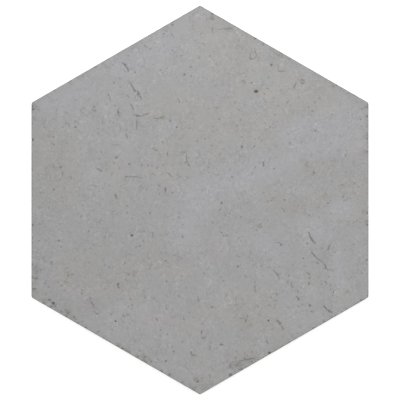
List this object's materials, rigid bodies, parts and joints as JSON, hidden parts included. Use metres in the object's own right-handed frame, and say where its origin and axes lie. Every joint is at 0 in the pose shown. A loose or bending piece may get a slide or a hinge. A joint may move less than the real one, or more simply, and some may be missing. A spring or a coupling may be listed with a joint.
{
  "type": "hexagon floor tile",
  "caption": "Flat hexagonal porcelain floor tile with a fissured stone-look face, a small arris and a honeycomb-keyed back.",
  "frame": {"origin": "middle of the back, on the plane of the rib tops that the tile is bedded on", "axes": "+Z out of the wear face, +Y through a corner of the hexagon, +X square to one of its edges"},
  "size_m": [0.2164, 0.2496, 0.009],
  "materials": {
    "porcelain": "matt grey stone look, fired through, with fine dark fissures on the face"
  },
  "bodies": {
    "root": {"hexagon_tile": "porcelain"}
  },
  "joints": []
}
